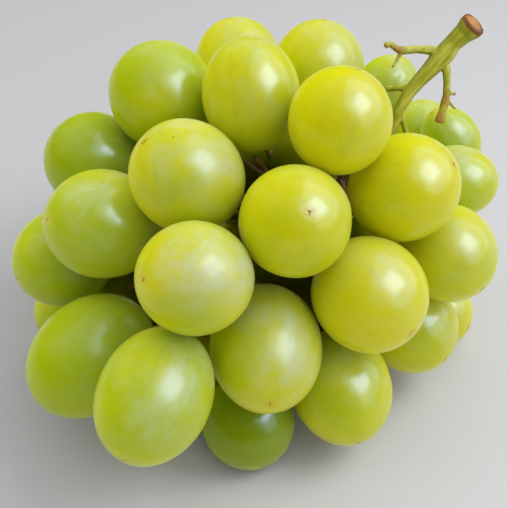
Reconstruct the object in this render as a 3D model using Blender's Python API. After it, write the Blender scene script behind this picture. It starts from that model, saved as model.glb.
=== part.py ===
"""A bunch of large white table grapes, as cut, lying on a table with its stalk up at the back right.

Every grape is a solid of its own. The main stalk, its side shoots and the small stalks that carry the
grapes grew as one piece, so together they are one solid. Metres, +Z up, front towards -Y, with the
origin on the table under the middle of the bunch.
"""
import math
import random
from typing import NamedTuple

import bmesh
import bpy
import numpy as np
from mathutils import Vector

# The front of the bunch is laid out on a slope that faces someone who looks down on it at this angle:
# across it, up it, and near, out of the slope towards them. All three start at the bunch's middle.
SLOPE = math.radians(38)
MIDDLE_HEIGHT = 0.0341
# The distance that the bunch is seen from. A grape that has to give way moves along the line of sight.
EYE_DISTANCE = 0.26

# What touches in the real bunch keeps this gap here.
GAP = 0.0003
FOOT_DEPTH = 0.0006
HIDDEN_FEET = 5
# The numbers in the list below of the shown grapes that the bunch rests on.
FRONT_FEET = [23, 25]

# Grapes on the bunch's far side lie on a shell round the middle, wherever the others leave room.
SHELL_ACROSS = 0.046
SHELL_DEEP = 0.042
SHELL_HIGH = 0.042
SHELL_POINTS = 100
SHELL_ROOM = 0.0146
# A grape that the others squeeze out past this much of the shell is dropped.
SQUEEZED_OUT = 1.3
# They stay behind the shown ones: this far from the line of sight at most, measured at the middle,
# and no nearer than this, but for those on the table.
BEHIND_REACH = 0.0495
BEHIND_NEAR = 0.002
UNDER_HEIGHT = -0.014
UNDER_NEAR = 0.012
DRAW_IN = 0.9
HIDDEN_RADIUS = (0.0102, 0.0124)
HIDDEN_RATIO = (1.04, 1.18)
WOBBLE = 0.3
SEED = 18

# How freely a grape gives way sideways and along the line of sight, and how strongly it is drawn back.
SHOWN_GIVE = (0.005, 0.08, 0.03)
INNER_GIVE = (0.08, 0.15, 0.02)
HIDDEN_HOLD = 0.01
# Rounds of settling: before and after the squeezed out are dropped, with stalk ends turned, with feet.
SPREAD_ROUNDS = 300
REFILL_ROUNDS = 200
TURNED_ROUNDS = 300
FOOT_ROUNDS = 500
# Grapes are drawn back during this share of the rounds, and each push is this share of the overlap.
DRAWN_BACK = 0.7
GRAPE_PUSH = 0.6
STALK_PUSH = 0.5
# Directions tried for a stalk end, how squarely it has to face the stalk, and what facing it is worth.
DIRECTIONS_TRIED = 160
LEAST_FACING = 0.2
FACING_WORTH = 0.002

SEGMENTS = 12
# Polar angles of a grape's rings, from its stalk end to its tip, in degrees.
RING_ANGLES = (13, 34, 55, 76, 97, 119, 145)
DIMPLE = 0.0004

PEDICEL = 0.00066
PEDICEL_MAX = 0.0013
PIPE_POWER = 0.33
COLLAR = 0.0013
COLLAR_LENGTH = 0.0020
COLLAR_NECK = 0.8
STALK_SPACING = 0.002
SHOOT_SPACING = 0.0015
STALK_CLEARANCE = 0.0006
STALK_ROOM = 0.0008
STALK_END_ROOM = 0.0028
EVENING_ROUNDS = 90
CLEARING_ROUNDS = 25
EVENING = 0.35
STARTS_TRIED = 6
START_SPACING = 0.003
# Points of a small stalk before its end, how many of them others may start from, and the cost of a
# start that is far out along another small stalk.
ROUTE_POINTS = 6
BRANCHING_POINTS = 4
TRAVEL_COST = 0.45
PEDICEL_SIDES = 5
SHOOT_SIDES = 6
STALK_SIDES = 10


class Grape(NamedTuple):
    """A grape's middle on the slope, its waist radius, its length over its width, and its tip's direction."""
    across: float
    up: float
    near: float
    radius: float
    ratio: float
    tip_across: float
    tip_up: float


# The grapes on show, row by row from the top left.
SHOWN = [
    Grape(-0.0217, 0.0374, 0.0138, 0.0126, 1.04, -0.61, 0.72),
    Grape(-0.0039, 0.0484, -0.0040, 0.0109, 1.08, -0.20, 0.90),
    Grape(-0.0008, 0.0359, 0.0258, 0.0115, 1.18, -0.08, 0.96),
    Grape(0.0157, 0.0455, 0.0060, 0.0111, 1.06, 0.10, 0.93),
    Grape(0.0184, 0.0284, 0.0377, 0.0112, 1.05, 0.30, 0.88),
    Grape(0.0335, 0.0426, -0.0060, 0.0076, 1.20, 0.68, 0.68),
    Grape(0.0340, 0.0150, 0.0248, 0.0121, 1.08, 0.76, 0.36),
    Grape(0.0466, 0.0346, -0.0300, 0.0084, 1.06, 0.60, 0.55),
    Grape(0.0523, 0.0307, -0.0156, 0.0074, 1.24, -0.62, 0.70),
    Grape(0.0504, 0.0182, -0.0012, 0.0094, 1.18, 0.97, 0.00),
    Grape(0.0464, 0.0001, 0.0103, 0.0115, 1.06, 0.58, -0.72),
    Grape(0.0250, -0.0092, 0.0306, 0.0128, 1.04, 0.62, -0.62),
    Grape(0.0088, 0.0070, 0.0402, 0.0120, 1.08, 0.19, 0.12),
    Grape(-0.0146, 0.0166, 0.0348, 0.0122, 1.08, -0.65, 0.52),
    Grape(-0.0389, 0.0221, 0.0052, 0.0121, 1.05, -0.85, 0.30),
    Grape(-0.0340, 0.0068, 0.0242, 0.0125, 1.12, -0.82, 0.07),
    Grape(-0.0464, -0.0001, 0.0036, 0.0121, 1.07, -0.80, -0.40),
    Grape(-0.0486, -0.0152, -0.0180, 0.0096, 1.06, -0.80, -0.40),
    Grape(-0.0123, -0.0051, 0.0453, 0.0119, 1.06, -0.78, 0.00),
    Grape(-0.0379, -0.0237, 0.0174, 0.0131, 1.24, -0.70, -0.63),
    Grape(-0.0206, -0.0297, 0.0396, 0.0125, 1.27, -0.35, -0.80),
    Grape(0.0029, -0.0210, 0.0278, 0.0126, 1.24, 0.05, -0.72),
    Grape(0.0193, -0.0316, 0.0150, 0.0119, 1.18, 0.25, -0.87),
    Grape(-0.0006, -0.0400, 0.0136, 0.0111, 1.03, 0.10, -0.90),
    Grape(0.0395, -0.0178, -0.0008, 0.0116, 1.04, 0.65, -0.65),
    Grape(0.0487, -0.0160, -0.0200, 0.0097, 1.05, 0.80, -0.40),
]
# The grapes of the inside that show as dark patches between the others.
INNER = [
    Grape(-0.0065, 0.0180, 0.0030, 0.0093, 1.05, -0.20, 0.50),
    Grape(0.0125, 0.0230, 0.0070, 0.0084, 1.05, -0.50, 0.60),
    Grape(0.0090, -0.0080, 0.0090, 0.0094, 1.05, 0.30, -0.60),
    Grape(-0.0320, -0.0140, -0.0050, 0.0100, 1.08, -0.60, -0.50),
]


class Point(NamedTuple):
    """A point of a stalk on the slope, and the stalk's radius there."""
    across: float
    up: float
    near: float
    radius: float


# The main stalk, from its flared cut end down into the bunch.
STALK = [
    Point(0.0507, 0.0530, 0.0215, 0.00300),
    Point(0.0498, 0.0522, 0.0206, 0.00312),
    Point(0.0486, 0.0511, 0.0197, 0.00252),
    Point(0.0463, 0.0491, 0.0183, 0.00215),
    Point(0.0449, 0.0472, 0.0173, 0.00250),
    Point(0.0431, 0.0453, 0.0164, 0.00235),
    Point(0.0412, 0.0432, 0.0155, 0.00200),
    Point(0.0390, 0.0409, 0.0146, 0.00170),
    Point(0.0367, 0.0382, 0.0137, 0.00158),
    Point(0.0353, 0.0357, 0.0130, 0.00140),
    Point(0.0343, 0.0336, 0.0121, 0.00125),
]
# Its run through the middle of the bunch, hidden but for a few dark glimpses.
RACHIS = [
    Point(0.0332, 0.0302, 0.0095, 0.00150),
    Point(0.0300, 0.0250, 0.0050, 0.00155),
    Point(0.0240, 0.0180, 0.0010, 0.00160),
    Point(0.0150, 0.0100, -0.0020, 0.00160),
    Point(0.0050, 0.0040, -0.0050, 0.00150),
    Point(-0.0050, -0.0030, -0.0060, 0.00140),
    Point(-0.0130, -0.0080, -0.0060, 0.00120),
]
# Side shoots whose grapes are gone: each starts inside what it grows from and ends blunt.
SHOOTS = {
    "left": [
        Point(0.0440, 0.0468, 0.0170, 0.00145), Point(0.0415, 0.0476, 0.0172, 0.00115),
        Point(0.0380, 0.0478, 0.0174, 0.00097), Point(0.0345, 0.0475, 0.0176, 0.00100),
        Point(0.0332, 0.0478, 0.0180, 0.00082), Point(0.0318, 0.0489, 0.0182, 0.00075),
        Point(0.0309, 0.0487, 0.0183, 0.00085), Point(0.0303, 0.0484, 0.0183, 0.00060),
    ],
    "left_twig": [
        Point(0.0345, 0.0474, 0.0175, 0.00065), Point(0.0336, 0.0457, 0.0178, 0.00045),
        Point(0.0328, 0.0442, 0.0182, 0.00045), Point(0.0321, 0.0434, 0.0184, 0.00035),
    ],
    "right": [
        Point(0.0441, 0.0460, 0.0166, 0.00130), Point(0.0452, 0.0435, 0.0162, 0.00110),
        Point(0.0454, 0.0405, 0.0157, 0.00095), Point(0.0454, 0.0375, 0.0150, 0.00095),
        Point(0.0452, 0.0360, 0.0147, 0.00115), Point(0.0446, 0.0337, 0.0142, 0.00100),
        Point(0.0441, 0.0318, 0.0137, 0.00130), Point(0.0439, 0.0311, 0.0136, 0.00118),
    ],
    "right_short_twig": [
        Point(0.0452, 0.0374, 0.0150, 0.00065), Point(0.0464, 0.0380, 0.0151, 0.00052),
        Point(0.0476, 0.0377, 0.0151, 0.00045),
    ],
    "right_long_twig": [
        Point(0.0451, 0.0364, 0.0148, 0.00060), Point(0.0461, 0.0358, 0.0145, 0.00046),
        Point(0.0470, 0.0351, 0.0141, 0.00042), Point(0.0478, 0.0344, 0.0137, 0.00035),
    ],
}
# Side shoots that still carry grapes: the far end of each goes on as small stalks.
BEARING_SHOOTS = [
    [Point(0.0371, 0.0391, 0.0139, 0.0010), Point(0.0345, 0.0396, 0.0128, 0.0008),
     Point(0.0318, 0.0396, 0.0112, 0.0008)],
    [Point(0.0346, 0.0345, 0.0124, 0.0009), Point(0.0357, 0.0318, 0.0112, 0.0007),
     Point(0.0368, 0.0290, 0.0090, 0.0007)],
    [Point(-0.0100, -0.0062, -0.0060, 0.0011), Point(-0.0180, -0.0072, 0.0000, 0.0010),
     Point(-0.0260, -0.0078, 0.0055, 0.0009), Point(-0.0310, -0.0080, 0.0080, 0.0007)],
]

SKIN_COLOUR = (0.46, 0.56, 0.07, 1)
SKIN_ROUGHNESS = 0.3
STALK_COLOUR = (0.30, 0.32, 0.06, 1)
STALK_ROUGHNESS = 0.6

ACROSS = np.array([1.0, 0.0, 0.0])
UP = np.array([0.0, math.sin(SLOPE), math.cos(SLOPE)])
NEAR = np.array([0.0, -math.cos(SLOPE), math.sin(SLOPE)])


def place(spot):
    """Where a spot of the slope is in the bunch's own frame."""
    return spot.across * ACROSS + spot.up * UP + spot.near * NEAR


def unit(vector):
    """The vector at length 1, or each row of an array of them."""
    return vector / np.linalg.norm(vector, axis=-1, keepdims=True)


class Cluster:
    """All grapes as arrays: middles, tip directions, waist radii, length ratios and how freely each moves."""

    def __init__(self):
        self.middle = []
        self.tip = []
        self.radius = []
        self.ratio = []
        self.freedom = []
        self.hold = []

    def add_laid_out(self, grape, give):
        """Adds a grape from the lists above, which moves mostly along the line of sight."""
        sideways, depth, hold = give
        out = math.sqrt(max(0.0, 1 - grape.tip_across ** 2 - grape.tip_up ** 2))
        middle = place(grape)
        sight = unit(EYE_DISTANCE * NEAR - middle)
        freedom = sideways * np.eye(3) + (depth - sideways) * np.outer(sight, sight)
        tip = unit(grape.tip_across * ACROSS + grape.tip_up * UP + out * NEAR)
        self.add(middle, tip, grape.radius, grape.ratio, freedom, hold)

    def add(self, middle, tip, radius, ratio, freedom, hold):
        self.middle.append(middle)
        self.tip.append(tip)
        self.radius.append(radius)
        self.ratio.append(ratio)
        self.freedom.append(freedom)
        self.hold.append(hold)

    def close(self):
        """Turns the lists into arrays."""
        self.middle = np.array(self.middle)
        self.tip = np.array(self.tip)
        self.radius = np.array(self.radius)
        self.ratio = np.array(self.ratio)
        self.freedom = np.array(self.freedom)
        self.hold = np.array(self.hold)[:, None]

    def drop_squeezed_out(self, first_hidden):
        """Drops each hidden grape that sits too far out of the shell."""
        scaled = self.middle / np.array([SHELL_ACROSS, SHELL_DEEP, SHELL_HIGH])
        kept = np.linalg.norm(scaled, axis=1) < SQUEEZED_OUT
        kept[:first_hidden] = True
        for name in ("middle", "tip", "radius", "ratio", "freedom", "hold"):
            setattr(self, name, getattr(self, name)[kept])

    def reach(self, directions):
        """How far each grape reaches from its middle along its own row of directions."""
        along = (directions * self.tip).sum(-1)
        return self.radius * np.sqrt(1 + (self.ratio ** 2 - 1) * along ** 2)

    def stalk_end(self, i, out=0.0):
        """The end of grape i that its stalk meets, or a point that far out from it."""
        return self.middle[i] - self.tip[i] * (self.radius[i] * self.ratio[i] + out)


def beside_sight(middle, radius):
    """How far from the line of sight a grape's outer edge seems to be, measured at the bunch's middle."""
    near = middle @ NEAR
    beside = np.linalg.norm(middle - near * NEAR)
    return (beside + radius) * EYE_DISTANCE / (EYE_DISTANCE - near)


def fill_far_side(cluster, stalk):
    """Adds grapes where an even spread of points over the shell meets free room, off the stalk."""
    draw = random.Random(SEED)
    golden = math.pi * (3 - math.sqrt(5))
    for i in range(SHELL_POINTS):
        height = 1 - 2 * (i + 0.5) / SHELL_POINTS
        ring = math.sqrt(1 - height * height)
        direction = np.array([ring * math.cos(golden * i), ring * math.sin(golden * i), height])
        radius = draw.uniform(*HIDDEN_RADIUS)
        ratio = draw.uniform(*HIDDEN_RATIO)
        middle = direction * np.array([SHELL_ACROSS, SHELL_DEEP, SHELL_HIGH])
        middle[2] = max(middle[2], radius - MIDDLE_HEIGHT)
        limit = UNDER_NEAR if middle[2] < UNDER_HEIGHT else BEHIND_NEAR
        if middle @ NEAR > limit or beside_sight(middle, radius) > BEHIND_REACH:
            continue
        if np.linalg.norm(stalk - middle, axis=1).min() < radius:
            continue
        rooms = np.linalg.norm(np.array(cluster.middle) - middle, axis=1) - np.array(cluster.radius)
        if rooms.min() < SHELL_ROOM - radius:
            continue
        wobble = np.array([draw.uniform(-WOBBLE, WOBBLE) for _ in range(3)])
        cluster.add(middle, unit(unit(middle) + wobble), radius, ratio, np.eye(3), HIDDEN_HOLD)


def settle(cluster, stalk, thickness, feet, rounds):
    """Pushes grapes off each other and off the stalk, keeps them on the table, and holds feet down on it."""
    count = len(cluster.radius)
    first_hidden = len(SHOWN) + len(INNER)
    target = cluster.middle.copy()
    target[first_hidden:] *= DRAW_IN
    first, second = np.triu_indices(count, 1)
    down = np.tile(np.array([0.0, 0.0, -1.0]), (count, 1))
    for step in range(rounds):
        fade = max(0.0, 1 - step / (DRAWN_BACK * rounds))
        cluster.middle += cluster.hold * fade * (target - cluster.middle)
        apart = cluster.middle[second] - cluster.middle[first]
        distance = np.linalg.norm(apart, axis=1)
        apart = apart / distance[:, None]
        along_first = (apart * cluster.tip[first]).sum(1)
        along_second = (apart * cluster.tip[second]).sum(1)
        need = cluster.radius[first] * np.sqrt(1 + (cluster.ratio[first] ** 2 - 1) * along_first ** 2)
        need += cluster.radius[second] * np.sqrt(1 + (cluster.ratio[second] ** 2 - 1) * along_second ** 2)
        short = np.maximum(0.0, need + GAP - distance)
        move_first = np.einsum("nij,nj->ni", cluster.freedom[first], apart)
        move_second = np.einsum("nij,nj->ni", cluster.freedom[second], apart)
        share = GRAPE_PUSH * short / ((apart * move_first).sum(1) + (apart * move_second).sum(1))
        np.add.at(cluster.middle, first, -move_first * share[:, None])
        np.add.at(cluster.middle, second, move_second * share[:, None])
        for spot, radius in zip(stalk, thickness):
            away = cluster.middle - spot
            distance = np.linalg.norm(away, axis=1)
            away = away / distance[:, None]
            short = np.maximum(0.0, cluster.reach(away) + radius + STALK_ROOM - distance)
            cluster.middle += STALK_PUSH * short[:, None] * away
        for i in range(first_hidden, count):
            beyond = beside_sight(cluster.middle[i], cluster.radius[i]) - BEHIND_REACH
            if beyond > 0:
                near = cluster.middle[i] @ NEAR
                cluster.middle[i] -= STALK_PUSH * beyond * unit(cluster.middle[i] - near * NEAR)
        lowest = cluster.reach(down) - MIDDLE_HEIGHT
        cluster.middle[:, 2] = np.maximum(cluster.middle[:, 2], lowest)
        cluster.middle[feet, 2] = lowest[feet] - FOOT_DEPTH


def turn_stalk_ends(cluster, hidden, stalk):
    """Turns each hidden grape so that its stalk end faces the main stalk through open room."""
    golden = math.pi * (3 - math.sqrt(5))
    numbers = np.arange(DIRECTIONS_TRIED)
    heights = 1 - 2 * (numbers + 0.5) / DIRECTIONS_TRIED
    rings = np.sqrt(1 - heights ** 2)
    turns = golden * numbers
    directions = np.stack([rings * np.cos(turns), rings * np.sin(turns), heights], axis=1)
    for i in hidden:
        nearest = stalk[np.argmin(np.linalg.norm(stalk - cluster.middle[i], axis=1))]
        facing = directions @ unit(nearest - cluster.middle[i])
        best = -math.inf
        for direction, face in zip(directions, facing):
            if face < LEAST_FACING:
                continue
            end = cluster.radius[i] * cluster.ratio[i]
            outs = [end + 0.3 * STALK_END_ROOM, end + STALK_END_ROOM]
            spots = cluster.middle[i] + np.outer(outs, direction)
            rooms = room_round(spots, cluster)[0]
            rooms[:, i] = math.inf
            score = min(rooms.min(), STALK_END_ROOM) + FACING_WORTH * face
            if score > best:
                best = score
                cluster.tip[i] = -direction


def arrange():
    """The settled cluster, and the numbers of the grapes that it rests on."""
    stalk = []
    thickness = []
    for run in [STALK[2:] + RACHIS] + BEARING_SHOOTS:
        spots = resampled(np.array([place(point) for point in run]), STALK_SPACING)
        along = np.linspace(0, len(run) - 1, len(spots))
        stalk.append(spots)
        thickness.append(np.interp(along, range(len(run)), [point.radius for point in run]))
    stalk = np.concatenate(stalk)
    thickness = np.concatenate(thickness)
    cluster = Cluster()
    for grape in SHOWN:
        cluster.add_laid_out(grape, SHOWN_GIVE)
    for grape in INNER:
        cluster.add_laid_out(grape, INNER_GIVE)
    fill_far_side(cluster, stalk)
    cluster.close()
    settle(cluster, stalk, thickness, [], SPREAD_ROUNDS)
    cluster.drop_squeezed_out(len(SHOWN) + len(INNER))
    settle(cluster, stalk, thickness, [], REFILL_ROUNDS)
    hidden = range(len(SHOWN) + len(INNER), len(cluster.radius))
    turn_stalk_ends(cluster, hidden, stalk)
    settle(cluster, stalk, thickness, [], TURNED_ROUNDS)
    down = np.tile(np.array([0.0, 0.0, -1.0]), (len(cluster.radius), 1))
    bottoms = cluster.middle[:, 2] - cluster.reach(down)
    lowest = [int(i) for i in np.argsort(bottoms) if i in hidden]
    feet = sorted(lowest[:HIDDEN_FEET] + FRONT_FEET)
    settle(cluster, stalk, thickness, feet, FOOT_ROUNDS)
    return cluster, feet


def room_round(points, cluster):
    """How far every point is outside every grape, and the way straight out of it."""
    away = points[:, None] - cluster.middle[None]
    along = (away * cluster.tip).sum(-1)
    beside = away - along[..., None] * cluster.tip
    size = np.sqrt((along / cluster.ratio) ** 2 + (beside ** 2).sum(-1))
    outward = unit(beside + (along / cluster.ratio ** 2)[..., None] * cluster.tip)
    return size - cluster.radius, outward


def pushed_clear(points, cluster, margin, pinned_start, pinned_end):
    """Moves the free points of a run out of every grape, by the margin, and evens the run out."""
    points = points.copy()
    free = slice(pinned_start, len(points) - pinned_end)
    for step in range(EVENING_ROUNDS + CLEARING_ROUNDS):
        if step < EVENING_ROUNDS:
            shift = np.zeros_like(points)
            shift[1:-1] = EVENING * ((points[:-2] + points[2:]) / 2 - points[1:-1])
            points[free] += shift[free]
        room, outward = room_round(points[free], cluster)
        inside = np.maximum(0.0, margin - room)
        points[free] += (outward * inside[..., None]).sum(1)
    return points


def tightest(points, cluster, own):
    """The least room along a run, measured between its points too, leaving out the grape it carries."""
    between = np.concatenate([points[:-1] * (1 - share) + points[1:] * share for share in (0.0, 0.33, 0.67)])
    room = room_round(between, cluster)[0]
    room[:, own] = math.inf
    return room.min()


def resampled(points, spacing):
    """The same run with points at even steps of about the given spacing."""
    steps = np.linalg.norm(np.diff(points, axis=0), axis=1)
    length = np.concatenate([[0.0], np.cumsum(steps)])
    count = max(2, int(round(length[-1] / spacing)) + 1)
    wanted = np.linspace(0.0, length[-1], count)
    return np.stack([np.interp(wanted, length, points[:, axis]) for axis in range(3)], axis=1)


class Joint:
    """A place on the stalks where another small stalk may start."""

    def __init__(self, spot, parent, travelled):
        self.spot = spot
        self.parent = parent
        self.travelled = travelled
        self.carried = 0


def chain_joints(points, parent):
    """Joints along a run, each hanging on the one before."""
    chain = []
    for spot in points:
        travelled = 0.0 if parent is None else parent.travelled + np.linalg.norm(spot - parent.spot)
        joint = Joint(spot, parent, travelled)
        chain.append(joint)
        parent = joint
    return chain


def best_route(cluster, joints, i):
    """The joint that grape i's stalk starts from, and the stalk's run, the first cheap one with room."""
    end = cluster.stalk_end(i, GAP + COLLAR_LENGTH)
    tail = np.array([cluster.stalk_end(i, GAP + COLLAR_LENGTH * share) for share in (1.0, 0.45, 0.0)])
    costs = [np.linalg.norm(end - joint.spot) + TRAVEL_COST * joint.travelled for joint in joints]
    tried = []
    best = (-math.inf, None, None)
    for k in np.argsort(costs):
        start = joints[int(k)]
        if any(np.linalg.norm(start.spot - other.spot) < START_SPACING for other in tried):
            continue
        tried.append(start)
        straight = np.linspace(start.spot, end, ROUTE_POINTS + 1)[:-1]
        route = pushed_clear(np.vstack([straight, tail]), cluster, PEDICEL + STALK_CLEARANCE, 1, 2)
        room = tightest(route, cluster, i)
        if room > best[0]:
            best = (room, start, route)
        if room > PEDICEL + GAP or len(tried) == STARTS_TRIED:
            break
    return best[1], best[2]


def grow_pedicels(cluster, rachis):
    """The run of joints that carries each grape, from the stalk outwards."""
    joints = chain_joints(resampled(rachis, STALK_SPACING), None)
    for joint in joints:
        joint.travelled = 0.0
    for shoot in BEARING_SHOOTS:
        run = np.array([place(point) for point in shoot])
        joints += chain_joints(resampled(run, SHOOT_SPACING)[1:], joints[0])[1:]
    ends = np.array([cluster.stalk_end(i) for i in range(len(cluster.radius))])
    rachis_spots = np.array([joint.spot for joint in joints])
    nearest = np.linalg.norm(ends[:, None] - rachis_spots[None], axis=2).min(axis=1)
    runs = {}
    for i in np.argsort(nearest):
        start, route = best_route(cluster, joints, i)
        run = chain_joints(route[1:], start)
        for joint in run:
            joint.travelled = np.linalg.norm(joint.spot - start.spot) + start.travelled
        joints += run[:BRANCHING_POINTS]
        carrier = run[-1]
        while carrier is not None:
            carrier.carried += 1
            carrier = carrier.parent
        runs[int(i)] = [start] + run
    return runs


def ring_frames(points):
    """Two directions across the run at every point, turning as little as they can."""
    tangents = np.gradient(points, axis=0)
    tangents = unit(tangents)
    side = np.cross(tangents[0], np.array([0.0, 0.0, 1.0]))
    if np.linalg.norm(side) < 0.1:
        side = np.cross(tangents[0], np.array([1.0, 0.0, 0.0]))
    frames = []
    for tangent in tangents:
        side = unit(side - (side @ tangent) * tangent)
        frames.append((side, np.cross(tangent, side)))
    return frames


def tube(name, points, radii, sides):
    """A closed tube of the given radii along the points, in an object of its own."""
    shape = bmesh.new()
    rings = []
    for spot, radius, (side, other) in zip(points, radii, ring_frames(points)):
        ring = []
        for k in range(sides):
            angle = 2 * math.pi * k / sides
            ring.append(shape.verts.new(spot + radius * (math.cos(angle) * side + math.sin(angle) * other)))
        rings.append(ring)
    for ring, following in zip(rings, rings[1:]):
        for k in range(sides):
            after = (k + 1) % sides
            shape.faces.new((ring[k], ring[after], following[after], following[k]))
    shape.faces.new(tuple(reversed(rings[0])))
    shape.faces.new(tuple(rings[-1]))
    return finished(name, shape)


def finished(name, shape):
    """An object of the mesh in shape, with its faces pointing out."""
    bmesh.ops.recalc_face_normals(shape, faces=shape.faces)
    mesh = bpy.data.meshes.new(name)
    shape.to_mesh(mesh)
    shape.free()
    mesh.shade_smooth()
    made = bpy.data.objects.new(name, mesh)
    bpy.context.scene.collection.objects.link(made)
    return made


def grape_mesh(name, cluster, i, lowest):
    """One grape, with the shallow dimple that its stalk sits in, cut flat where it meets the table."""
    radius = cluster.radius[i]
    length = radius * cluster.ratio[i]
    axis = cluster.tip[i]
    side, other = ring_frames(np.array([np.zeros(3), axis]))[0]
    middle = cluster.middle[i]
    shape = bmesh.new()
    bottom = shape.verts.new(middle - axis * (length - DIMPLE))
    rings = []
    for angle in RING_ANGLES:
        polar = math.radians(angle)
        ring = []
        for k in range(SEGMENTS):
            turn = 2 * math.pi * k / SEGMENTS
            out = radius * math.sin(polar) * (math.cos(turn) * side + math.sin(turn) * other)
            ring.append(shape.verts.new(middle + out - axis * length * math.cos(polar)))
        rings.append(ring)
    top = shape.verts.new(middle + axis * length)
    for k in range(SEGMENTS):
        after = (k + 1) % SEGMENTS
        shape.faces.new((bottom, rings[0][after], rings[0][k]))
        shape.faces.new((top, rings[-1][k], rings[-1][after]))
        for ring, following in zip(rings, rings[1:]):
            shape.faces.new((ring[k], ring[after], following[after], following[k]))
    if lowest is not None:
        geometry = shape.verts[:] + shape.edges[:] + shape.faces[:]
        cut = bmesh.ops.bisect_plane(shape, geom=geometry, plane_co=(0, 0, lowest), plane_no=(0, 0, -1),
                                     clear_outer=True)
        rim = [item for item in cut["geom_cut"] if isinstance(item, bmesh.types.BMEdge)]
        bmesh.ops.contextual_create(shape, geom=rim)
    return finished(name, shape)


def outer_skin(mesh):
    """Takes any pocket that is sealed inside a joined solid out of its mesh."""
    shape = bmesh.new()
    shape.from_mesh(mesh)
    seen = set()
    skins = []
    for start in shape.verts:
        if start.index in seen:
            continue
        skin = [start]
        seen.add(start.index)
        for vertex in skin:
            for edge in vertex.link_edges:
                beside = edge.other_vert(vertex)
                if beside.index not in seen:
                    seen.add(beside.index)
                    skin.append(beside)
        skins.append(skin)
    skins.sort(key=len)
    for pocket in skins[:-1]:
        bmesh.ops.delete(shape, geom=pocket, context="VERTS")
    shape.to_mesh(mesh)
    shape.free()


def make_stalks(cluster, rachis):
    """The main stalk, the shoots and every small stalk, joined into one solid."""
    outer = np.array([place(point) for point in STALK])
    points = np.vstack([outer, rachis])
    radii = [point.radius for point in STALK] + [point.radius for point in RACHIS]
    stalk = tube("stalk", points, radii, STALK_SIDES)
    parts = bpy.data.collections.new("stalk_parts")
    bpy.context.scene.collection.children.link(parts)
    pieces = []
    for name, shoot in SHOOTS.items():
        run = np.array([place(point) for point in shoot])
        pieces.append(tube("shoot_" + name, run, [point.radius for point in shoot], SHOOT_SIDES))
    for k, shoot in enumerate(BEARING_SHOOTS):
        run = np.array([place(point) for point in shoot])
        pieces.append(tube("bearing_shoot_%d" % k, run, [point.radius for point in shoot], SHOOT_SIDES))
    for i, run in grow_pedicels(cluster, rachis).items():
        spots = np.array([joint.spot for joint in run])
        carried = [run[1].carried] + [joint.carried for joint in run[1:]]
        radii = [min(PEDICEL * n ** PIPE_POWER, PEDICEL_MAX) for n in carried]
        radii[-2] = COLLAR_NECK * COLLAR
        radii[-1] = COLLAR
        pieces.append(tube("pedicel_%02d" % i, spots, radii, PEDICEL_SIDES))
    for piece in pieces:
        bpy.context.scene.collection.objects.unlink(piece)
        parts.objects.link(piece)
    union = stalk.modifiers.new("join", "BOOLEAN")
    union.operation = "UNION"
    union.operand_type = "COLLECTION"
    union.collection = parts
    union.solver = "MANIFOLD"
    depsgraph = bpy.context.evaluated_depsgraph_get()
    joined = bpy.data.meshes.new_from_object(stalk.evaluated_get(depsgraph))
    stalk.modifiers.clear()
    outer_skin(joined)
    stalk.data = joined
    joined.name = "stalk"
    for piece in pieces:
        bpy.data.objects.remove(piece, do_unlink=True)
    bpy.data.collections.remove(parts)
    return stalk


def principled(name, colour, roughness):
    """A material with the part's colour and roughness."""
    material = bpy.data.materials.new(name)
    material.use_nodes = True
    shader = material.node_tree.nodes["Principled BSDF"]
    shader.inputs["Base Color"].default_value = colour
    shader.inputs["Roughness"].default_value = roughness
    shader.inputs["Metallic"].default_value = 0.0
    material.diffuse_color = colour
    return material


def stand_on_origin(objects):
    """Moves every mesh so that the whole stands on Z = 0 with its box centred on the origin."""
    corners = np.array([vertex.co[:] for made in objects for vertex in made.data.vertices])
    low, high = corners.min(axis=0), corners.max(axis=0)
    shift = Vector((-(low[0] + high[0]) / 2, -(low[1] + high[1]) / 2, -low[2]))
    for made in objects:
        centre = sum((vertex.co for vertex in made.data.vertices), Vector()) / len(made.data.vertices)
        for vertex in made.data.vertices:
            vertex.co -= centre
        made.location = centre + shift


def main():
    for old in list(bpy.data.objects):
        bpy.data.objects.remove(old, do_unlink=True)
    skin = principled("grape_skin", SKIN_COLOUR, SKIN_ROUGHNESS)
    bark = principled("stalk_bark", STALK_COLOUR, STALK_ROUGHNESS)
    cluster, feet = arrange()
    made = []
    for i in range(len(cluster.radius)):
        lowest = -MIDDLE_HEIGHT if i in feet else None
        grape = grape_mesh("grape_%02d" % (i + 1), cluster, i, lowest)
        grape.data.materials.append(skin)
        made.append(grape)
    route = np.array([place(point) for point in RACHIS])
    rachis = pushed_clear(route, cluster, RACHIS[0].radius + STALK_CLEARANCE, 1, 0)
    stalk = make_stalks(cluster, rachis)
    stalk.data.materials.clear()
    stalk.data.materials.append(bark)
    made.append(stalk)
    stand_on_origin(made)
    return cluster, feet, made


if __name__ == "__main__":
    main()
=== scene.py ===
"""The look of a bunch of large white table grapes, lying on a pale table in soft studio light.

Each grape gets a fine skin with the scar of its blossom and the dimple of its stalk, and the stalks get
grown, ridged bark with brown cut ends. Metres, +Z up, front towards -Y.
"""
import math
import random

import bmesh
import bpy
import numpy as np
from mathutils import Matrix, Vector, noise


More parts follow.
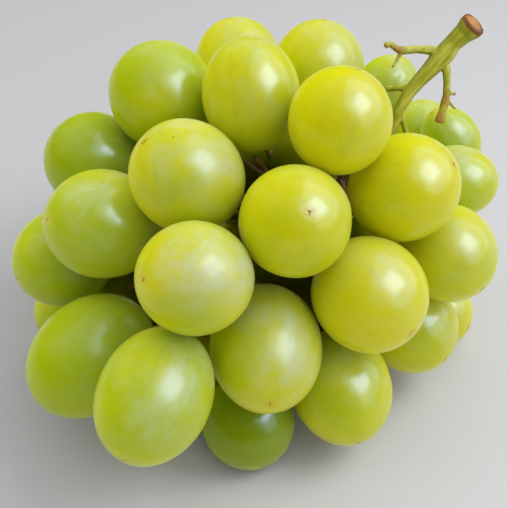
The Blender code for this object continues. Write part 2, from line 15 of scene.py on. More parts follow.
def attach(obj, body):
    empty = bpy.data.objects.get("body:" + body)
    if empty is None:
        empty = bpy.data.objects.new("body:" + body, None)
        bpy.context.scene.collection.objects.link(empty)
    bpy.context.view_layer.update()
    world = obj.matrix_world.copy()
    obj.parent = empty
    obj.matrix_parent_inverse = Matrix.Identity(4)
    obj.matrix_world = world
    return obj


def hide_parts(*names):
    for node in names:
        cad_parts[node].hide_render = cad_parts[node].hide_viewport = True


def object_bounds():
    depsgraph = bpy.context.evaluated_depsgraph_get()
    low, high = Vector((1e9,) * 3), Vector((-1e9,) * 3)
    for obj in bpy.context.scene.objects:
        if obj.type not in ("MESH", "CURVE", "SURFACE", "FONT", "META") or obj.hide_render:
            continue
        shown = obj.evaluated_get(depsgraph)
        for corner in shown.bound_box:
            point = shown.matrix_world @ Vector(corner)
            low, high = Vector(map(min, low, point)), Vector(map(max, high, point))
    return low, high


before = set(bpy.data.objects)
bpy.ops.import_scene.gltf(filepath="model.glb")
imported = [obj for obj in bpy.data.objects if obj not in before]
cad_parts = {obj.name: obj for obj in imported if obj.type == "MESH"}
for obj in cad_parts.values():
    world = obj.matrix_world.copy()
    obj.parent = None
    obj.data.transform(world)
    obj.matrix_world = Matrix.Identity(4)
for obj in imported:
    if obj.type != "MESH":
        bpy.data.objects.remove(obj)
cad_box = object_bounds()

# The bunch is seen from above its front. Across, up and near are the directions of that view.
MIDDLE = Vector((-0.0008, 0.0027, 0.0341))
SLOPE = math.radians(38)
ACROSS = Vector((1, 0, 0))
UP = Vector((0, math.sin(SLOPE), math.cos(SLOPE)))
NEAR = Vector((0, -math.cos(SLOPE), math.sin(SLOPE)))
EYE_DISTANCE = 0.26
LENS = 73.6
SENSOR = 36
MILLIMETRES = 1000

# The bunch's half sizes, and the shares of them between which the painted shade of the inside goes over
# to none: for the skins, for the grapes of the inside, and for the bark.
HALF_SIZES = Vector((0.0604, 0.0630, 0.0458))
PAINTED_SHADE_SKIN = (0.36, 0.56)
PAINTED_SHADE_INNER = (0.50, 0.85)
PAINTED_SHADE_BARK = (0.64, 0.92)

# A grape's skin: its faces round and along, and how far it rises and falls from an even shape.
SEGMENTS = 48
RINGS = 34
UNEVEN = 0.00010
WAVES = 1.3
STALK_DIMPLE = 0.0006
STALK_DIMPLE_WIDTH = 0.0018
BLOSSOM_PIT = 0.00016
BLOSSOM_PIT_WIDTH = 0.0006
DENTS = 3
DENT_DEPTHS = (0.00005, 0.00018)
DENT_WIDTHS = (0.20, 0.42)
# Streaks run from end to end, so the place that they are drawn from is short that way.
STREAK_SHAPE = (1.0, 1.0, 0.22)
# The grain's place steps on from one grape to the next, so that no two are alike.
WAVE_STEP = (3.7, 1.3)
STREAK_STEP = 2.3

# The grapes up to this number are seen from the front, and those inside show only through the gaps.
LAST_SHOWN = 26
INNER = (27, 28, 29, 30)
# Grapes of the far side whose skin is a little fuller, which closes a chink right through the bunch.
FULLER = {35: 0.00045, 45: 0.00050}
# How ripe, from deep green below 0 to yellow at 1, the grapes are whose colour stands out. Grapes 15, 20 and
# 24, low at the left, are set deep green partly as painted shade.
RIPENESS = {
    1: 0.30, 2: 0.60, 3: 0.55, 4: 0.55, 5: 0.80, 7: 0.80, 8: 0.25, 9: 0.25, 11: 0.65, 12: 0.80, 13: 0.65,
    14: 0.60, 15: -0.10, 16: 0.30, 17: 0.20, 19: 0.55, 20: 0.00, 21: 0.35, 22: 0.60, 23: 0.50, 24: -0.35,
    27: 0.20, 28: 0.20, 29: 0.20,
}
USUAL_RIPENESS = (0.25, 0.65)
# How much wax they have, from none at 0 to a full coat at 1.
WAXINESS = {
    1: 0.30, 2: 0.60, 3: 0.45, 4: 0.45, 5: 0.20, 6: 1.00, 7: 0.20, 8: 0.80, 9: 0.90, 10: 0.70, 11: 0.35,
    12: 0.35, 13: 0.25, 14: 0.65, 15: 0.20, 16: 0.70, 17: 0.50, 19: 0.90, 20: 0.28, 21: 0.55, 22: 0.75,
    23: 0.40, 24: 0.06,
}
USUAL_WAX = 0.4
# The side of the shown grapes, towards the light, where the wax is thickest: a painted sheen. It thins out
# as the skin turns away, to an even rest of wax.
WAX_AND_PAINTED_SHEEN_SIDE = ACROSS * 0.50 + UP * 0.48 + NEAR * 0.72
SHEEN_WAX_STARTS = 0.25
SHEEN_WAX_FULL = 0.90
WAX_AWAY_FROM_SHEEN = 0.10

# The stalk's bark: the size of its mesh's cells, the height of its ridges, and how they are drawn out.
VOXEL = 0.00022
BARK_RELIEF = 0.00007
RIDGE_GRAIN = 420
RIDGE_STRETCH = 0.85
MAIN_STALK = (ACROSS * 0.62 + UP * 0.72 + NEAR * 0.36).normalized()
# The side that the light comes from; the bark turned away from it gets painted shade.
PAINTED_SHADE_LIT_SIDE = (ACROSS * 0.50 + UP * 0.20 + NEAR * 0.84).normalized()


def slope_spot(across, up, near):
    """A spot given in millimetres across, up and near from the bunch's middle."""
    return MIDDLE + (across * ACROSS + up * UP + near * NEAR) / MILLIMETRES


# The main stalk's cut face: its middle, the way it looks, its radius, and how deep the brown goes.
CUT_MIDDLE = slope_spot(50.7, 53.0, 21.5)
CUT_FACE = (ACROSS * 2.1 + UP * 1.9 + NEAR * 1.8).normalized()
CUT_RADIUS = 0.0045
CUT_DEPTH = 0.0016
CUT_EDGE = 0.0008
PITH_RADIUS = 0.0026
PITH_EDGE = 0.0010
PITH_DEPTH = 0.0004
# The ends of shoots that were broken off, and how far the brown reaches.
BROKEN_ENDS = [
    (slope_spot(30.3, 48.4, 18.3), 0.0010),
    (slope_spot(32.1, 43.4, 18.4), 0.0007),
    (slope_spot(43.9, 31.1, 13.6), 0.0016),
    (slope_spot(47.6, 37.7, 15.1), 0.0007),
    (slope_spot(47.8, 34.4, 13.7), 0.0007),
]
# Places along the shoots where bark has gone brown: spot and reach.
BROWN_KNOTS = [
    (slope_spot(33.5, 47.8, 17.8), 0.0028),
    (slope_spot(45.2, 36.4, 14.7), 0.0032),
    (slope_spot(44.2, 32.0, 14.0), 0.0032),
]
# The bark is brown inside this distance from the bunch's middle, and has turned green after this much more.
BROWN_WITHIN = 0.042
BROWN_FADE = 0.010

# Colours of the skin.
GREEN_SKIN = (0.475, 0.590, 0.002)
YELLOW_SKIN = (0.740, 0.720, 0.001)
# Deep green, for unripe grapes and as painted shade on the low ones at the left.
UNRIPE_AND_PAINTED_SHADE_GREEN = (0.260, 0.360, 0.002)
STREAK_GREEN = (0.400, 0.520, 0.003)
SCAR_YELLOW = (0.720, 0.560, 0.002)
NECK_BROWN = (0.250, 0.200, 0.030)
# Painted shade: the near black that the skin is darkened to towards the middle of the bunch.
PAINTED_SHADE_GREEN = (0.030, 0.030, 0.001)
# The pale wax, whose colour also gives the painted sheen on the side towards the light.
PALE_WAX_AND_SHEEN = (0.68, 0.75, 0.54)
SCAR_BROWN = (0.190, 0.105, 0.004)
# Colours of the bark.
FURROW_GREEN = (0.430, 0.450, 0.008)
RIDGE_GREEN = (0.740, 0.710, 0.100)
BLOTCH_TAN = (0.360, 0.250, 0.012)
# Painted shade on the side of the bark turned away from the light.
TURNED_AWAY_PAINTED_SHADE_GREEN = (0.150, 0.170, 0.002)
AGED_BROWN = (0.430, 0.190, 0.010)
CUT_RIM = (0.220, 0.080, 0.010)
CUT_WOOD = (0.620, 0.280, 0.055)
# The bark inside the bunch: partly its own brown, partly painted shade as it darkens towards the middle.
BROWN_AND_PAINTED_SHADE = (0.120, 0.036, 0.010)
# Colours of the table and of the light.
TABLE_DARK = (0.412, 0.412, 0.422)
TABLE_LIGHT = (0.424, 0.424, 0.434)
WARM_WHITE = (1.0, 0.99, 0.97)
COOL_WHITE = (0.60, 0.72, 1.0)
HALO_WHITE = (0.58, 0.74, 1.0)
ROOM_WHITE = (0.97, 0.98, 1.0)
# How far the table reaches out each way.
TABLE_REACH = 3.0
# Where the room round the bunch is palest: it is darker low down and behind the viewer. The strength goes
# from one number to the other as the cosine of the angle to the palest side goes over its range.
PALE_SIDE = (0.15, 0.50, 0.80)
ROOM_COSINES = (-0.4, 0.7)
ROOM_STRENGTHS = (0.15, 1.21)


class Value:
    """A number that changes over a surface. Sums and products of it add the nodes that work them out."""

    def __init__(self, finish, socket):
        self.finish = finish
        self.socket = socket

    def __add__(self, other):
        return self.finish.maths("ADD", self, other)

    def __radd__(self, other):
        return self.finish.maths("ADD", other, self)

    def __sub__(self, other):
        return self.finish.maths("SUBTRACT", self, other)

    def __rsub__(self, other):
        return self.finish.maths("SUBTRACT", other, self)

    def __mul__(self, other):
        return self.finish.maths("MULTIPLY", self, other)

    def __rmul__(self, other):
        return self.finish.maths("MULTIPLY", other, self)

    def __gt__(self, other):
        return self.finish.maths("GREATER_THAN", self, other)


class Finish:
    """A material, with its nodes."""

    def __init__(self, name, colour, **constants):
        self.material = bpy.data.materials.new(name)
        self.material.use_nodes = True
        self.material.diffuse_color = colour + (1,)
        self.tree = self.material.node_tree
        self.shader = self.tree.nodes["Principled BSDF"]
        for socket, value in constants.items():
            self.shader.inputs[socket.replace("_", " ")].default_value = value

    def feed(self, socket, value):
        """Links a varying value to a socket, or sets the socket to a constant."""
        if isinstance(value, Value):
            self.tree.links.new(value.socket, socket)
        else:
            socket.default_value = value

    def node(self, kind, settings, sockets, output=0):
        """A node of a kind with its settings made first and its sockets fed, as the value it puts out."""
        made = self.tree.nodes.new(kind)
        for setting, value in settings.items():
            setattr(made, setting, value)
        for socket, value in sockets.items():
            self.feed(made.inputs[socket], value)
        return Value(self, made.outputs[output])

    def maths(self, operation, first, second):
        """Two numbers added, subtracted, multiplied or compared."""
        return self.node("ShaderNodeMath", {"operation": operation}, {0: first, 1: second})

    def attribute(self, name, output="Fac"):
        """What is stored on the mesh under a name: a number, or with the output Vector a direction."""
        return self.node("ShaderNodeAttribute", {"attribute_name": name}, {}, output)

    def blend(self, first, second, share):
        """One colour turning into another as the share goes from 0 to 1."""
        first, second = [c if isinstance(c, Value) else c + (1,) for c in (first, second)]
        return self.node("ShaderNodeMix", {"data_type": "RGBA"}, {0: share, 6: first, 7: second}, 2)

    def ramp(self, value, low, high):
        """0 at low, 1 at high, and a smooth change between."""
        return self.node("ShaderNodeMapRange", {"interpolation_type": "SMOOTHSTEP"},
                         {"Value": value, "From Min": low, "From Max": high})

    def grain(self, place, scale, detail=2.0, roughness=0.5):
        """Cloudy noise over a place, so many to the metre."""
        return self.node("ShaderNodeTexNoise", {},
                         {"Vector": place, "Scale": scale, "Detail": detail, "Roughness": roughness})

    def relief(self, height, distance, strength):
        """Lets a height show as fine relief, and gives it back for the layer over this one."""
        bump = self.node("ShaderNodeBump", {},
                         {"Height": height, "Distance": distance, "Strength": strength})
        self.feed(self.shader.inputs["Normal"], bump)
        return bump

    def cover(self, colour, share, roughness, relief):
        """Puts a matt layer over the rest, thin or thick by its share."""
        layer = self.node("ShaderNodeBsdfPrincipled", {},
                          {"Base Color": colour, "Roughness": roughness, "Specular IOR Level": 0.0,
                           "Normal": relief})
        below = Value(self, self.shader.outputs["BSDF"])
        both = self.node("ShaderNodeMixShader", {}, {0: share, 1: below, 2: layer})
        self.feed(self.tree.nodes["Material Output"].inputs["Surface"], both)


def grape_skin():
    """Thin, waxy, half clear skin over yellow-green flesh, with painted shade towards the middle of the
    bunch and on the low grapes at the left, and a painted sheen where the wax is thick on the side towards
    the light.
    """
    finish = Finish("grape_skin", (0.46, 0.56, 0.07), Subsurface_Weight=1.0,
                    Subsurface_Radius=(1.0, 0.85, 0.08), Subsurface_Scale=0.014, IOR=1.45,
                    Coat_Roughness=0.23, Coat_IOR=1.38, Specular_IOR_Level=0.02, Sheen_Weight=0.05,
                    Sheen_Roughness=0.35, Sheen_Tint=(0.85, 1.0, 0.70, 1))
    place = finish.node("ShaderNodeTexCoord", {}, {}, "Object")
    ripe = finish.attribute("ripe")
    scar = finish.attribute("scar")
    neck = finish.attribute("neck")
    painted_shade = finish.attribute("painted_shade")
    wax_and_painted_sheen = finish.attribute("wax_and_painted_sheen")
    veins = finish.attribute("veins", "Vector")

    # Green to yellow in soft clouds, with greener streaks from end to end.
    clouds = finish.grain(place, 120.0, 3.0)
    drift = finish.grain(place, 55.0, 1.0)
    streaks = finish.grain(veins, 5.0, 5.0, 0.6)
    sweet = finish.ramp(ripe + (clouds - 0.5) * 0.5 + (drift - 0.5) * 0.7, 0.15, 0.85)
    colour = finish.blend(GREEN_SKIN, YELLOW_SKIN, sweet)
    # Below a ripeness of 0.15 the skin turns deep green; on grapes 15, 20 and 24, low at the left, this is
    # partly painted shade.
    colour = finish.blend(colour, UNRIPE_AND_PAINTED_SHADE_GREEN, finish.ramp(ripe, 0.15, -0.45))
    colour = finish.blend(colour, STREAK_GREEN, finish.ramp(streaks, 0.52, 0.75) * 0.25)

    # Round the scar the skin is yellow, frayed at the edge. Round the stalk it is brown.
    frayed = scar + (finish.grain(place, 900.0, 2.0) - 0.5) * 1.4
    colour = finish.blend(colour, SCAR_YELLOW, finish.ramp(frayed, 2.1, 0.7) * 0.6)
    colour = finish.blend(colour, NECK_BROWN, finish.ramp(neck, 1.9, 1.2) * 0.7)
    # Painted shade: towards the middle of the bunch, where the gaps are in shade, the skin is darkened
    # almost to black.
    colour = finish.blend(colour, PAINTED_SHADE_GREEN, painted_shade * 0.94)

    # Wax lies in patches, rubbed off in streaks, with a dusty grain. It is thickest on the side towards the
    # light, which paints a pale sheen there.
    dust = finish.grain(place, 900.0, 4.0, 0.65)
    patches = finish.ramp(finish.grain(place, 75.0, 4.0, 0.58), 0.38, 0.64)
    rubbed = finish.ramp(finish.grain(veins, 3.2, 5.0, 0.62), 0.26, 0.60)
    bloom_and_painted_sheen = (0.12 + patches * rubbed * 0.88) * finish.ramp(dust, 0.05, 0.55) * wax_and_painted_sheen

    # A few single brown specks, freckles near the scar, and the dot of the scar itself.
    specks = finish.node("ShaderNodeTexVoronoi", {}, {"Vector": place, "Scale": 230.0}, "Distance")
    cells = finish.node("ShaderNodeTexVoronoi", {}, {"Vector": place, "Scale": 230.0}, "Color")
    few = finish.node("ShaderNodeSeparateColor", {}, {"Color": cells}, 0) > 0.90
    speck = finish.ramp(specks, 0.070, 0.035) * few * 0.5
    freckles = finish.ramp(finish.grain(place, 2300.0, 2.0), 0.53, 0.62)
    dot = finish.ramp(scar, 0.32, 0.20) * 0.8
    mark = finish.ramp(frayed, 1.25, 0.60) * freckles * 0.7 + dot + speck

    finish.feed(finish.shader.inputs["Base Color"], colour)
    finish.feed(finish.shader.inputs["Roughness"], 0.44 + bloom_and_painted_sheen * 0.16 + (dust - 0.5) * 0.10)
    finish.feed(finish.shader.inputs["Coat Weight"], (0.72 + rubbed * 0.28) * (1 - painted_shade))
    height = dust * 0.35 + finish.grain(place, 330.0, 2.0) + streaks * 0.5
    relief = finish.relief(height, 0.00012, 0.5)
    # The pale layer of wax, thicker towards the light as painted sheen, and the brown marks.
    dry = finish.blend(PALE_WAX_AND_SHEEN, SCAR_BROWN, finish.ramp(mark, 0.05, 0.40))
    finish.cover(dry, finish.maths("MAXIMUM", bloom_and_painted_sheen * 0.80 * (1 - painted_shade), mark), 0.7, relief)
    return finish.material


def stalk_bark():
    """Green, ridged bark that goes brown at its knots, inside the bunch and round its cut ends, with painted
    shade on the side turned away from the light and towards the middle of the bunch.
    """
    finish = Finish("stalk_bark", (0.30, 0.32, 0.06), Subsurface_Weight=0.15,
                    Subsurface_Radius=(1.0, 0.8, 0.2), Subsurface_Scale=0.0008, IOR=1.45,
                    Specular_IOR_Level=0.22)
    place = finish.node("ShaderNodeTexCoord", {}, {}, "Object")
    along = finish.attribute("along_stalk", "Vector")
    brown = finish.attribute("brown")
    cut = finish.attribute("cut")
    pith = finish.attribute("pith")
    ridges = finish.grain(along, 900.0, 4.0, 0.6)
    blotches = finish.grain(place, 260.0, 4.0, 0.6)
    fine = finish.grain(place, 2600.0, 3.0)
    colour = finish.blend(FURROW_GREEN, RIDGE_GREEN, finish.ramp(ridges, 0.30, 0.70))
    colour = finish.blend(colour, BLOTCH_TAN, finish.ramp(blotches, 0.54, 0.72) * 0.18)
    # Painted shade: the side turned away from the light is darker and greener.
    colour = finish.blend(colour, TURNED_AWAY_PAINTED_SHADE_GREEN, finish.attribute("painted_shade_turned_away") * 0.75)
    aged = finish.ramp(brown + (blotches - 0.5) * 1.3 + (fine - 0.5) * 0.4, 0.30, 0.90)
    colour = finish.blend(colour, AGED_BROWN, aged * 0.72)
    wood = finish.ramp(pith + (blotches - 0.5) * 2.2 + (fine - 0.5) * 0.8, 0.0, 1.0)
    colour = finish.blend(colour, finish.blend(CUT_RIM, CUT_WOOD, wood), cut)
    # Painted shade: towards the middle of the bunch the bark is darkened to a deep brown.
    colour = finish.blend(colour, BROWN_AND_PAINTED_SHADE, finish.attribute("painted_shade") * 0.9)
    finish.feed(finish.shader.inputs["Base Color"], colour)
    finish.feed(finish.shader.inputs["Roughness"], 0.50 + aged * 0.15 + cut * 0.15)
    finish.relief(ridges + fine * 0.3 + blotches * 0.4, 0.00012, 0.6)
    return finish.material


def table_top():
    """A plain, pale, matt table."""
    finish = Finish("table_top", (0.48, 0.48, 0.49), Roughness=0.65)
    place = finish.node("ShaderNodeTexCoord", {}, {}, "Object")
    clouds = finish.grain(place, 6.0, 2.0)
    colour = finish.blend(TABLE_DARK, TABLE_LIGHT, clouds)
    finish.feed(finish.shader.inputs["Base Color"], colour)
    return finish.material


def node_spots(name):
    """The different corners of a CAD solid."""
    corners = np.array([vertex.co[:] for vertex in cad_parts[name].data.vertices])
    return np.unique(np.round(corners, 7), axis=0)


def spheroid(name):
    """Middle, tip direction, waist radius and half length of a CAD grape, from the corners on its skin.

    A surface of the second order is fitted to them. The corners that lie off it, at the ends and on the
    flat spot that a grape may rest on, are left out one by one.
    """
    corners = node_spots(name)
    centre = corners.mean(axis=0)
    size = np.ptp(corners, axis=0).max() / 2
    on_table = 1e-5
    fit = 0.002
    skin = corners[corners[:, 2] > on_table]
    while True:
        x, y, z = ((skin - centre) / size).T
        terms = np.stack([x * x, y * y, z * z, x * y, x * z, y * z, x, y, z], axis=1)
        found = np.linalg.lstsq(terms, np.ones(len(x)), rcond=None)[0]
        off = np.abs(terms @ found - 1)
        if off.max() < fit:
            break
        skin = np.delete(skin, np.argmax(off), axis=0)
    a, b, c, d, e, f = found[:6]
    form = np.array([[a, d / 2, e / 2], [d / 2, b, f / 2], [e / 2, f / 2, c]])
    middle = -np.linalg.solve(form, found[6:]) / 2
    scale = 1 + middle @ form @ middle
    strengths, directions = np.linalg.eigh(form / scale)
    half_length = size / math.sqrt(strengths[0])
    radius = size / math.sqrt((strengths[1] + strengths[2]) / 2)
    tip = directions[:, 0]
    middle = centre + middle * size
    # The blossom end is the one with fewer corners.
    end = 0.93
    along = (corners - middle) @ tip / half_length
    if (along > end).sum() > (along < -end).sum():
        tip = -tip
    return middle, tip, radius, half_length


def painted_shade_share(spots, dark, light):
    """The share of painted shade: 1 in the middle of the bunch, where the gaps are in shade, 0 near its
    outside, given as shares of its half sizes.
    """
    out = np.linalg.norm((spots - np.array(MIDDLE)) / np.array(HALF_SIZES), axis=1)
    return np.clip((light - out) / (light - dark), 0, 1)


def attribute(mesh, name, values):
    """Stores a number or a direction for every point of a mesh."""
    values = np.asarray(values, dtype=np.float32)
    kind, key = ("FLOAT", "value") if values.ndim == 1 else ("FLOAT_VECTOR", "vector")
    mesh.attributes.new(name, kind, "POINT").data.foreach_set(key, values.ravel())


def round_grid():
    """Spots on a ball of radius 1 from the stalk end to the blossom end, and how far along each one lies."""
    polar = np.pi * (np.arange(1, RINGS) / RINGS)
    turn = 2 * np.pi * np.arange(SEGMENTS) / SEGMENTS
    polar, turn = (grid.ravel() for grid in np.meshgrid(polar, turn, indexing="ij"))
    polar = np.concatenate([[0.0], polar, [np.pi]])
    turn = np.concatenate([[0.0], turn, [0.0]])
    out = np.sin(polar)
    local = np.stack([out * np.cos(turn), out * np.sin(turn), -np.cos(polar)], axis=1)
    return local, polar


def round_faces():
    """The faces between the spots of the round grid: a fan at each end, and rings between."""
    faces = []
    last = 1 + (RINGS - 1) * SEGMENTS
    last_ring = 1 + (RINGS - 2) * SEGMENTS
    for k in range(SEGMENTS):
        after = (k + 1) % SEGMENTS
        faces.append((0, 1 + after, 1 + k))
        faces.append((last, last_ring + k, last_ring + after))
        for ring in range(RINGS - 2):
            low = 1 + ring * SEGMENTS
            faces.append((low + k, low + after, low + SEGMENTS + after, low + SEGMENTS + k))
    return faces


def made_of(material, name, mesh):
    """A piece with its mesh and its material, put in the scene."""
    mesh.materials.append(material)
    piece = bpy.data.objects.new(name, mesh)
    bpy.context.scene.collection.objects.link(piece)
    return piece


def fine_grape(name, number, skin):
    """A grape's skin: round, a little uneven, with a dimple at the stalk and a pit at the blossom end."""
    middle, tip, radius, half_length = spheroid(name)
    draw = random.Random(number)
    side = np.cross(tip, (0.0, 0.0, 1.0) if abs(tip[2]) < 0.9 else (1.0, 0.0, 0.0))
    side /= np.linalg.norm(side)
    other = np.cross(tip, side)
    local, polar = round_grid()
    level = local[:, :1] * side + local[:, 1:2] * other
    upright = local[:, 2:] * tip
    outward = level / radius + upright / half_length
    outward /= np.linalg.norm(outward, axis=1, keepdims=True)
    spots = middle + radius * level + half_length * upright

    seat = Vector((number * WAVE_STEP[0], number * WAVE_STEP[1], 0.0))
    wavy = np.array([noise.noise(Vector(spot) * WAVES + seat) for spot in local])
    rise = UNEVEN * wavy + FULLER.get(number, 0.0)
    beside = radius * np.sin(polar)
    stalk_half = polar < np.pi / 2
    rise -= np.where(stalk_half, STALK_DIMPLE * np.exp(-(beside / STALK_DIMPLE_WIDTH) ** 2), 0.0)
    rise -= np.where(stalk_half, 0.0, BLOSSOM_PIT * np.exp(-(beside / BLOSSOM_PIT_WIDTH) ** 2))
    for _ in range(DENTS):
        toward = np.array([draw.gauss(0, 1) for _ in range(3)])
        toward /= np.linalg.norm(toward)
        depth = draw.uniform(*DENT_DEPTHS)
        width = draw.uniform(*DENT_WIDTHS)
        apart = np.linalg.norm(local - toward, axis=1)
        rise -= depth * np.exp(-(apart / width) ** 2)
    spots = spots + outward * rise[:, None]

    # Past the box of the CAD solids the grape is drawn in round its middle.
    low, high = (np.array(corner) for corner in cad_box)
    past = (spots - middle) / np.where(spots > middle, high - middle, middle - low)
    spots = middle + (spots - middle) / max(1.0, np.abs(past[:, :2]).max(), past[:, 2].max())
    spots[:, 2] = np.maximum(spots[:, 2], 0.0)

    mesh = bpy.data.meshes.new(name + "_skin")
    mesh.from_pydata([tuple(spot) for spot in spots], [], round_faces())
    mesh.shade_smooth()
    # Millimetres from the blossom's scar and from the stalk, each on its own half of the grape.
    far = radius * 2
    attribute(mesh, "scar", np.where(stalk_half, far, beside) * MILLIMETRES)
    attribute(mesh, "neck", np.where(stalk_half, beside, far) * MILLIMETRES)
    ripeness = RIPENESS.get(number, draw.uniform(*USUAL_RIPENESS))
    attribute(mesh, "ripe", np.full(len(spots), ripeness))
    attribute(mesh, "veins", local * STREAK_SHAPE + (number * STREAK_STEP, 0.0, 0.0))
    # Painted shade towards the middle of the bunch, stronger for the grapes of the inside.
    attribute(mesh, "painted_shade", painted_shade_share(spots, *(PAINTED_SHADE_INNER if number in INNER else PAINTED_SHADE_SKIN)))
    # The wax of the shown grapes is thickest on the side towards the light, as painted sheen; on the hidden
    # grapes it lies on their outer side.
    wax_and_sheen_facing = WAX_AND_PAINTED_SHEEN_SIDE if number <= LAST_SHOWN else (Vector(middle) - MIDDLE).normalized()
    turned_to_light = np.clip((outward @ np.array(wax_and_sheen_facing) - SHEEN_WAX_STARTS) / (SHEEN_WAX_FULL - SHEEN_WAX_STARTS), 0, 1)
    wax = WAXINESS.get(number, USUAL_WAX)
    attribute(mesh, "wax_and_painted_sheen", wax * (WAX_AWAY_FROM_SHEEN + (1 - WAX_AWAY_FROM_SHEEN) * turned_to_light))
    piece = made_of(skin, name + "_skin", mesh)
    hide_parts(name)
    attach(piece, "root")
    return piece


def grown_mesh():
    """The CAD stalk's shape with its faceted tubes grown together and rounded off."""
    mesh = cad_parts["stalk"].data.copy()
    shape = bmesh.new()
    shape.from_mesh(mesh)
    bmesh.ops.remove_doubles(shape, verts=shape.verts[:], dist=1e-6)
    shape.to_mesh(mesh)
    shape.free()
    mould = bpy.data.objects.new("stalk_mould", mesh)
    bpy.context.scene.collection.objects.link(mould)
    remesh = mould.modifiers.new("grow", "REMESH")
    remesh.mode = "VOXEL"
    remesh.voxel_size = VOXEL
    smooth = mould.modifiers.new("round_off", "SMOOTH")
    smooth.factor = 0.5
    smooth.iterations = 4
    depsgraph = bpy.context.evaluated_depsgraph_get()
    grown = bpy.data.meshes.new_from_object(mould.evaluated_get(depsgraph))
    bpy.data.objects.remove(mould)
    bpy.data.meshes.remove(mesh)
    grown.name = "stalk_bark"
    grown.materials.clear()
    return grown


def read_points(mesh, key):
    """The places or the normals of a mesh's points."""
    found = np.empty(len(mesh.vertices) * 3)
    mesh.vertices.foreach_get(key, found)
    return found.reshape(-1, 3)


def cut_and_pith(spots):
    """Where the stalk is cut or broken off, and how much of the pale wood shows there."""
    face = np.array(CUT_FACE)
    from_end = spots - np.array(CUT_MIDDLE)
    beyond = from_end @ face
    beside = np.linalg.norm(from_end - beyond[:, None] * face, axis=1)
    cut = np.clip((CUT_DEPTH - np.abs(beyond)) / CUT_EDGE, 0, 1) * (beside < CUT_RADIUS)
    pith = np.clip((PITH_RADIUS - beside) / PITH_EDGE, 0, 1) * np.clip(1.4 + beyond / PITH_DEPTH, 0, 1)
    for spot, reach in BROKEN_ENDS:
        apart = np.linalg.norm(spots - np.array(spot), axis=1)
        cut = np.maximum(cut, np.clip((reach - apart) / (0.5 * reach), 0, 1))
        pith = np.maximum(pith, 0.5 * (apart < reach))
    return cut, pith


def browned(spots, normals):
    """How brown the bark is: at its knots, inside the bunch, and a little underneath."""
    brown = np.zeros(len(spots))
    for spot, reach in BROWN_KNOTS:
        apart = np.linalg.norm(spots - np.array(spot), axis=1)
        brown = np.maximum(brown, np.clip(1.2 - apart / reach, 0, 1))
    out = np.linalg.norm(spots - np.array(MIDDLE), axis=1)
    brown = np.maximum(brown, 0.55 * np.clip((BROWN_WITHIN + BROWN_FADE - out) / BROWN_FADE, 0, 1))
    return np.maximum(brown, 0.15 * np.clip(-normals[:, 2], 0, 1))


def grown_stalk(bark):
    """The stalks with rounded, ridged bark, from the CAD solid's own shape."""
    mesh = grown_mesh()
    spots = read_points(mesh, "co")
    normals = read_points(mesh, "normal")
    # The ridges run along the main stalk.
    lie = np.array(MAIN_STALK)
    along = spots @ lie
    stretched = spots - RIDGE_STRETCH * along[:, None] * lie
    ridges = np.array([noise.noise(Vector(spot) * RIDGE_GRAIN) for spot in stretched])
    spots = spots + normals * (BARK_RELIEF * ridges)[:, None]
    spots = np.clip(spots, np.array(cad_box[0]), np.array(cad_box[1]))
    mesh.vertices.foreach_set("co", spots.ravel())
    cut, pith = cut_and_pith(spots)
    attribute(mesh, "cut", cut)
    attribute(mesh, "pith", pith)
    attribute(mesh, "brown", browned(spots, normals))
    # Painted shade on the side turned away from the light.
    attribute(mesh, "painted_shade_turned_away", np.clip(0.85 - normals @ np.array(PAINTED_SHADE_LIT_SIDE) * 1.3, 0, 1))
    # Painted shade towards the middle of the bunch.
    attribute(mesh, "painted_shade", painted_shade_share(spots, *PAINTED_SHADE_BARK))
    attribute(mesh, "along_stalk", stretched)
    mesh.shade_smooth()
    piece = made_of(bark, "stalk_bark", mesh)
    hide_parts("stalk")
    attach(piece, "root")
    return piece


def make_table(finish):
    """The pale table top that the bunch lies on."""
    mesh = bpy.data.meshes.new("table_top")
    corners = [(x * TABLE_REACH, y * TABLE_REACH, 0) for x, y in ((-1, -1), (1, -1), (1, 1), (-1, 1))]
    mesh.from_pydata(corners, [], [(0, 1, 2, 3)])
    table = made_of(finish, "table_top", mesh)
    return table


def lamp(name, on, direction, distance, size, radiance, colour, lights=True, shines=True):
    """A square softbox out from the bunch's middle, in a direction given across, up and near.

    It lights only the collection that it is turned on. One that doesn't light what is matt shows there
    only as a highlight on what is glossy, or the other way round.
    """
    across, up, near = direction
    toward = (across * ACROSS + up * UP + near * NEAR).normalized()
    light = bpy.data.lights.new(name, "AREA")
    light.shape = "SQUARE"
    light.size = size
    light.energy = radiance * math.pi * size * size
    light.color = colour
    made = bpy.data.objects.new(name, light)
    made.location = MIDDLE + toward * distance
    made.rotation_euler = toward.to_track_quat("Z", "Y").to_euler()
    made.visible_diffuse = lights
    made.visible_glossy = shines
    made.light_linking.receiver_collection = on
    bpy.context.scene.collection.objects.link(made)


def make_camera():
    """The camera at the place that the bunch is seen from."""
    lens = bpy.data.cameras.new("camera")
    lens.lens = LENS
    lens.sensor_width = SENSOR
    lens.clip_start = 0.01
    camera = bpy.data.objects.new("camera", lens)
    basis = Matrix((ACROSS, UP, NEAR)).transposed()
    camera.matrix_world = Matrix.Translation(MIDDLE + NEAR * EYE_DISTANCE) @ basis.to_4x4()
    bpy.context.scene.collection.objects.link(camera)
    bpy.context.scene.camera = camera


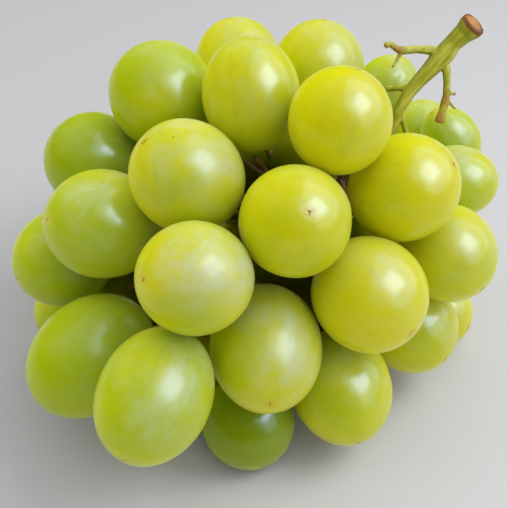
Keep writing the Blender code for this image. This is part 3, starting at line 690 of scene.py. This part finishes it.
def make_room():
    """Pale surroundings that only light what is matt, so that they leave no sheen on the skins."""
    world = bpy.data.worlds.new("studio")
    world.use_nodes = True
    nodes = world.node_tree.nodes
    links = world.node_tree.links
    place = nodes.new("ShaderNodeTexCoord")
    facing = nodes.new("ShaderNodeVectorMath")
    facing.operation = "DOT_PRODUCT"
    facing.inputs[1].default_value = Vector(PALE_SIDE).normalized()
    fall = nodes.new("ShaderNodeMapRange")
    fall.interpolation_type = "SMOOTHSTEP"
    fall.inputs["From Min"].default_value, fall.inputs["From Max"].default_value = ROOM_COSINES
    fall.inputs["To Min"].default_value, fall.inputs["To Max"].default_value = ROOM_STRENGTHS
    sky = nodes["Background"]
    sky.inputs["Color"].default_value = ROOM_WHITE + (1,)
    links.new(place.outputs["Generated"], facing.inputs[0])
    links.new(facing.outputs["Value"], fall.inputs["Value"])
    links.new(fall.outputs["Result"], sky.inputs["Strength"])
    bpy.context.scene.world = world
    world.cycles_visibility.glossy = False
    bpy.context.scene.view_settings.view_transform = "Standard"


def make_lamps(table, pieces):
    """Soft light from high on the right, with a wider halo round its highlights on the grapes.

    The grapes of the inside are in neither collection, so that nothing glints in the gaps.
    """
    ground = bpy.data.collections.new("ground")
    ground.objects.link(table)
    bunch = bpy.data.collections.new("bunch")
    inside = [f"grape_{number}_skin" for number in INNER]
    for piece in pieces:
        if piece.name not in inside:
            bunch.objects.link(piece)
    lamp("key", bunch, (0.62, 0.50, 0.60), 0.62, 0.40, 0.45, WARM_WHITE, shines=False)
    lamp("key_on_table", ground, (0.66, 0.52, 0.54), 0.62, 0.36, 7.2, WARM_WHITE, shines=False)
    lamp("front_of_table", ground, (0.20, 0.00, 0.98), 0.62, 0.60, 1.3, WARM_WHITE, shines=False)
    lamp("key_shine", bunch, (0.62, 0.40, 0.68), 0.62, 0.37, 18.5, COOL_WHITE, lights=False)
    lamp("halo", bunch, (0.66, 0.46, 0.52), 0.50, 0.80, 4.2, HALO_WHITE, lights=False)


make_camera()
table = make_table(table_top())
skin = grape_skin()
grapes = [name for name in sorted(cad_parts) if name.startswith("grape_")]
pieces = [fine_grape(name, int(name.removeprefix("grape_")), skin) for name in grapes]
pieces.append(grown_stalk(stalk_bark()))
make_room()
make_lamps(table, pieces)
